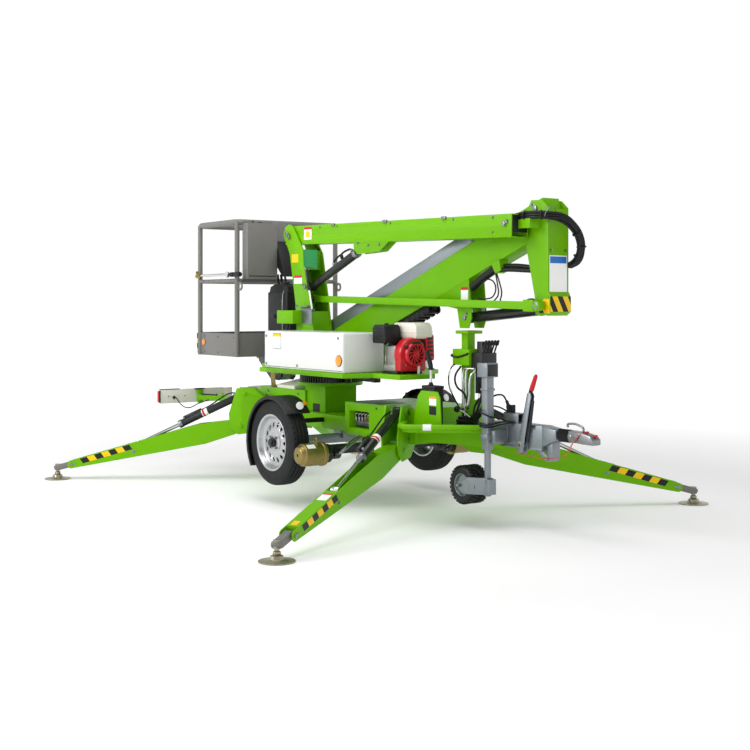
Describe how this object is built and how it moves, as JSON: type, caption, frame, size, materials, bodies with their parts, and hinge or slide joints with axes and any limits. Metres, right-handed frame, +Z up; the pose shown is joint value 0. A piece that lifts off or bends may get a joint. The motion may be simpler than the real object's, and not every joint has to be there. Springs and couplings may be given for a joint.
{
  "type": "towable articulated boom lift",
  "caption": "Trailer-mounted articulated boom lift on swing-down legs, with a slewing parallelogram lower boom, a telescopic upper boom and a levelled basket.",
  "frame": {"origin": "middle of the footprint's box on the ground", "axes": "+X towards the drawbar and its coupling, +Y to the machine's left, +Z up"},
  "size_m": [4.4487, 3.4726, 1.995],
  "materials": {
    "green_paint": "gloss",
    "galvanised_steel": "dull",
    "black_paint": "satin",
    "black_plastic": "matt",
    "chromed_rod": "polished",
    "road_tyre": "matt",
    "solid_rubber": "matt",
    "silver_rim": "satin",
    "white_cover": "gloss",
    "cream_plastic": "satin",
    "grey_paint": "satin",
    "engine_red": "gloss",
    "yellow_zinc": "satin"
  },
  "bodies": {
    "chassis": {"chassis_frame": "green_paint", "pedestal": "green_paint", "slew_ring": "black_paint", "axle_beam": "galvanised_steel", "mudguard_left": "black_plastic", "mudguard_right": "black_plastic", "traction_drive_left": "yellow_zinc", "traction_drive_right": "yellow_zinc", "overrun_coupling": "galvanised_steel", "jack_mast": "galvanised_steel", "control_post": "green_paint", "control_valve": "black_plastic", "guard_panel": "green_paint", "lamp_board_left": "cream_plastic", "lamp_board_right": "cream_plastic", "lamp_arm_left": "green_paint", "lamp_arm_right": "green_paint", "rear_box": "cream_plastic"},
    "wheel_right": {"tyre_right": "road_tyre", "rim_right": "silver_rim"},
    "wheel_left": {"tyre_left": "road_tyre", "rim_left": "silver_rim"},
    "superstructure": {"turntable": "green_paint", "tank_shelf": "green_paint", "side_cover_right": "white_cover", "side_cover_left": "white_cover", "hydraulic_tank": "black_plastic", "engine": "engine_red", "tower": "green_paint"},
    "boom_lower": {"boom_lower": "green_paint"},
    "tie_bar": {"tie_bar": "green_paint"},
    "lift_lower_barrel": {"lift_lower_barrel": "black_paint"},
    "lift_lower_rod": {"lift_lower_rod": "chromed_rod"},
    "knuckle": {"knuckle": "green_paint"},
    "boom_upper": {"boom_upper": "green_paint", "cable_tray": "galvanised_steel", "hose_carrier": "black_plastic"},
    "lift_upper_barrel": {"lift_upper_barrel": "black_paint"},
    "lift_upper_rod": {"lift_upper_rod": "chromed_rod"},
    "boom_fly": {"boom_fly": "grey_paint"},
    "basket": {"basket_bracket": "black_paint", "basket_frame": "grey_paint", "basket_console": "grey_paint", "control_cover": "black_plastic"},
    "basket_gate": {"basket_gate": "silver_rim"},
    "jack_leg": {"jack_leg": "galvanised_steel"},
    "jockey_wheels": {"jockey_wheels": "solid_rubber"},
    "handbrake_lever": {"handbrake_lever": "galvanised_steel"},
    "leg_front_right": {"leg_front_right": "green_paint"},
    "ram_front_right_barrel": {"ram_front_right_barrel": "black_paint"},
    "ram_front_right_rod": {"ram_front_right_rod": "chromed_rod"},
    "leg_front_left": {"leg_front_left": "green_paint"},
    "ram_front_left_barrel": {"ram_front_left_barrel": "black_paint"},
    "ram_front_left_rod": {"ram_front_left_rod": "chromed_rod"},
    "leg_rear_right": {"leg_rear_right": "green_paint"},
    "ram_rear_right_barrel": {"ram_rear_right_barrel": "black_paint"},
    "ram_rear_right_rod": {"ram_rear_right_rod": "chromed_rod"},
    "leg_rear_left": {"leg_rear_left": "green_paint"},
    "ram_rear_left_barrel": {"ram_rear_left_barrel": "black_paint"},
    "ram_rear_left_rod": {"ram_rear_left_rod": "chromed_rod"}
  },
  "joints": [
    {"name": "slew", "type": "hinge", "parent": "chassis", "child": "superstructure", "pos_m": [-0.4574, 0, 0.812], "axis": [0, 0, 1], "range_deg": [0, 355]},
    {"name": "lower_boom_lift", "type": "hinge", "parent": "superstructure", "child": "boom_lower", "pos_m": [-0.6924, -0.134, 1.866], "axis": [0, -1, 0], "range_deg": [0, 70]},
    {"name": "tie_bar_hinge", "type": "hinge", "parent": "superstructure", "child": "tie_bar", "pos_m": [-0.5174, -0.096, 1.39], "axis": [0, -1, 0], "range_deg": [0, 70.01]},
    {"name": "lower_lift_base", "type": "hinge", "parent": "superstructure", "child": "lift_lower_barrel", "pos_m": [-0.4474, -0.165, 1.475], "axis": [0, -1, 0], "range_deg": [0, 59.26]},
    {"name": "lower_lift_stroke", "type": "slide", "parent": "lift_lower_barrel", "child": "lift_lower_rod", "axis": [0.9295, 0, 0.3688], "range_m": [0, 0.50219]},
    {"name": "knuckle_hinge", "type": "hinge", "parent": "boom_lower", "child": "knuckle", "pos_m": [1.6826, -0.13, 1.816], "axis": [0, -1, 0], "range_deg": [-70.01, 0]},
    {"name": "upper_boom_lift", "type": "hinge", "parent": "knuckle", "child": "boom_upper", "pos_m": [1.7926, 0.02, 1.905], "axis": [0, 1, 0], "range_deg": [0, 62]},
    {"name": "upper_lift_base", "type": "hinge", "parent": "boom_upper", "child": "lift_upper_barrel", "pos_m": [1.1326, 0.02, 1.265], "axis": [0, -1, 0], "range_deg": [0, 13.81]},
    {"name": "upper_lift_stroke", "type": "slide", "parent": "lift_upper_barrel", "child": "lift_upper_rod", "axis": [0.9963, 0, 0.0854], "range_m": [0, 0.55477]},
    {"name": "fly_stroke", "type": "slide", "parent": "boom_upper", "child": "boom_fly", "axis": [-0.9388, 0, -0.3445], "range_m": [0, 1.45]},
    {"name": "basket_level", "type": "hinge", "parent": "boom_fly", "child": "basket", "pos_m": [-1.11422, 0.02, 0.82773], "axis": [0, 1, 0], "range_deg": [-62.01, 0]},
    {"name": "gate_hinge", "type": "hinge", "parent": "basket", "child": "basket_gate", "pos_m": [-1.1974, -0.452, 1.575], "axis": [0, 1, 0], "range_deg": [0, 80]},
    {"name": "leg_fold_front_right", "type": "hinge", "parent": "chassis", "child": "leg_front_right", "pos_m": [0.8326, -0.36, 0.43], "axis": [0.8805, 0.4741, 0], "range_deg": [-60, 0]},
    {"name": "ram_base_front_right", "type": "hinge", "parent": "chassis", "child": "ram_front_right_barrel", "pos_m": [0.81838, -0.33359, 0.675], "axis": [0.8805, 0.4741, 0], "range_deg": [-59.17, 0]},
    {"name": "ram_stroke_front_right", "type": "slide", "parent": "ram_front_right_barrel", "child": "ram_front_right_rod", "axis": [0.4287, -0.7961, -0.4271], "range_m": [-0.24667, 0]},
    {"name": "leg_fold_front_left", "type": "hinge", "parent": "chassis", "child": "leg_front_left", "pos_m": [0.8326, 0.36, 0.43], "axis": [-0.8805, 0.4741, 0], "range_deg": [-60, 0]},
    {"name": "ram_base_front_left", "type": "hinge", "parent": "chassis", "child": "ram_front_left_barrel", "pos_m": [0.81838, 0.33359, 0.675], "axis": [-0.8805, 0.4741, 0], "range_deg": [-59.17, 0]},
    {"name": "ram_stroke_front_left", "type": "slide", "parent": "ram_front_left_barrel", "child": "ram_front_left_rod", "axis": [0.4287, 0.7961, -0.4271], "range_m": [-0.24667, 0]},
    {"name": "leg_fold_rear_right", "type": "hinge", "parent": "chassis", "child": "leg_rear_right", "pos_m": [-1.1674, -0.34, 0.43], "axis": [0.7513, -0.66, 0], "range_deg": [-60, 0]},
    {"name": "ram_base_rear_right", "type": "hinge", "parent": "chassis", "child": "ram_rear_right_barrel", "pos_m": [-1.1476, -0.31746, 0.675], "axis": [0.7513, -0.66, 0], "range_deg": [-59.17, 0]},
    {"name": "ram_stroke_rear_right", "type": "slide", "parent": "ram_rear_right_barrel", "child": "ram_rear_right_rod", "axis": [-0.5968, -0.6793, -0.4271], "range_m": [-0.24667, 0]},
    {"name": "leg_fold_rear_left", "type": "hinge", "parent": "chassis", "child": "leg_rear_left", "pos_m": [-1.1674, 0.34, 0.43], "axis": [-0.7513, -0.66, 0], "range_deg": [-60, 0]},
    {"name": "ram_base_rear_left", "type": "hinge", "parent": "chassis", "child": "ram_rear_left_barrel", "pos_m": [-1.1476, 0.31746, 0.675], "axis": [-0.7513, -0.66, 0], "range_deg": [-59.17, 0]},
    {"name": "ram_stroke_rear_left", "type": "slide", "parent": "ram_rear_left_barrel", "child": "ram_rear_left_rod", "axis": [-0.5968, 0.6793, -0.4271], "range_m": [-0.24667, 0]},
    {"name": "wheel_right_spin", "type": "hinge", "parent": "chassis", "child": "wheel_right", "pos_m": [-0.1174, -0.637, 0.416], "axis": [0, 1, 0], "continuous": true},
    {"name": "wheel_left_spin", "type": "hinge", "parent": "chassis", "child": "wheel_left", "pos_m": [-0.1174, 0.637, 0.416], "axis": [0, 1, 0], "continuous": true},
    {"name": "jack_stroke", "type": "slide", "parent": "chassis", "child": "jack_leg", "axis": [0, 0, -1], "range_m": [-0.05, 0.13]},
    {"name": "jockey_spin", "type": "hinge", "parent": "jack_leg", "child": "jockey_wheels", "pos_m": [1.3126, -0.157, 0.259], "axis": [0, 1, 0], "continuous": true},
    {"name": "handbrake", "type": "hinge", "parent": "chassis", "child": "handbrake_lever", "pos_m": [1.6826, -0.068, 0.525], "axis": [0, 1, 0], "range_deg": [0, 55]}
  ],
  "couplings": [
    {"joint": "tie_bar_hinge", "follows": "lower_boom_lift", "ratio": 1},
    {"joint": "lower_lift_base", "follows": "lower_boom_lift", "ratio": 0.8464},
    {"joint": "lower_lift_stroke", "follows": "lower_boom_lift", "m_per_rad": 0.41097},
    {"joint": "knuckle_hinge", "follows": "lower_boom_lift", "ratio": -1},
    {"joint": "upper_lift_base", "follows": "upper_boom_lift", "ratio": 0.22255},
    {"joint": "upper_lift_stroke", "follows": "upper_boom_lift", "m_per_rad": 0.51258},
    {"joint": "basket_level", "follows": "upper_boom_lift", "ratio": -1},
    {"joint": "ram_base_front_right", "follows": "leg_fold_front_right", "ratio": 0.98606},
    {"joint": "ram_stroke_front_right", "follows": "leg_fold_front_right", "m_per_rad": 0.23545},
    {"joint": "ram_base_front_left", "follows": "leg_fold_front_left", "ratio": 0.98606},
    {"joint": "ram_stroke_front_left", "follows": "leg_fold_front_left", "m_per_rad": 0.23545},
    {"joint": "ram_base_rear_right", "follows": "leg_fold_rear_right", "ratio": 0.98606},
    {"joint": "ram_stroke_rear_right", "follows": "leg_fold_rear_right", "m_per_rad": 0.23545},
    {"joint": "ram_base_rear_left", "follows": "leg_fold_rear_left", "ratio": 0.98606},
    {"joint": "ram_stroke_rear_left", "follows": "leg_fold_rear_left", "m_per_rad": 0.23545}
  ]
}
